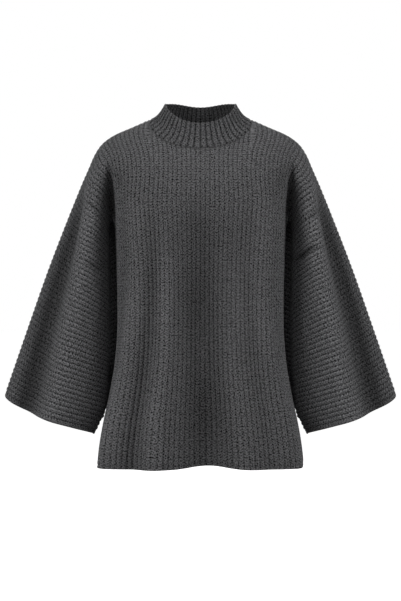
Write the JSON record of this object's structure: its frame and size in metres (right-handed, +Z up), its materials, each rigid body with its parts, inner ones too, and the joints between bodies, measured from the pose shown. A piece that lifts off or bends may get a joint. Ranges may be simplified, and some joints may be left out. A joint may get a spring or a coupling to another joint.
{
  "type": "ribbed sweater",
  "caption": "Hollow mock-neck sweater in heavy rib knit with wide kimono sleeves, in its worn shape with no wearer.",
  "frame": {"origin": "the middle of the neck opening, at the height of the side neck points of the shoulders, less 9 mm: where the wearer's neck and shoulders hold the sweater", "axes": "+Z up, the front faces -Y, +X to the wearer's left, across the span of the sleeves"},
  "size_m": [0.7826, 0.2438, 0.727],
  "materials": {
    "charcoal_wool": "matt heather knit"
  },
  "bodies": {
    "root": {"front": "charcoal_wool", "back": "charcoal_wool", "collar": "charcoal_wool"}
  },
  "joints": []
}
